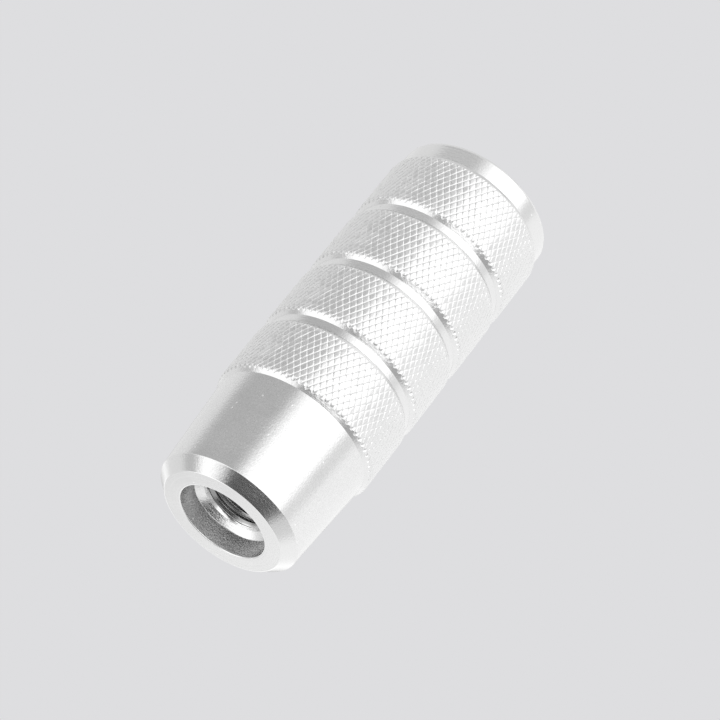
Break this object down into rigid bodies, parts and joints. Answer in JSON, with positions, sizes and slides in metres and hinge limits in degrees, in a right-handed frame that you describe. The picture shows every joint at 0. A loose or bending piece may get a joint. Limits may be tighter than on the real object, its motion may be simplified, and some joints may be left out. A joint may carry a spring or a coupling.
{
  "type": "gear shift knob",
  "caption": "Cylindrical turned metal gear shift knob with diamond knurled bands between grooves, smooth shank and threaded mouth.",
  "frame": {"origin": "centre of the flat mouth face, which the knob stands on", "axes": "+Z along the axis of the knob, from the mouth to the closed top"},
  "size_m": [0.03, 0.03, 0.078],
  "materials": {
    "aluminium": "clear satin, turned and knurled"
  },
  "bodies": {
    "root": {"knob_body": "aluminium"}
  },
  "joints": []
}
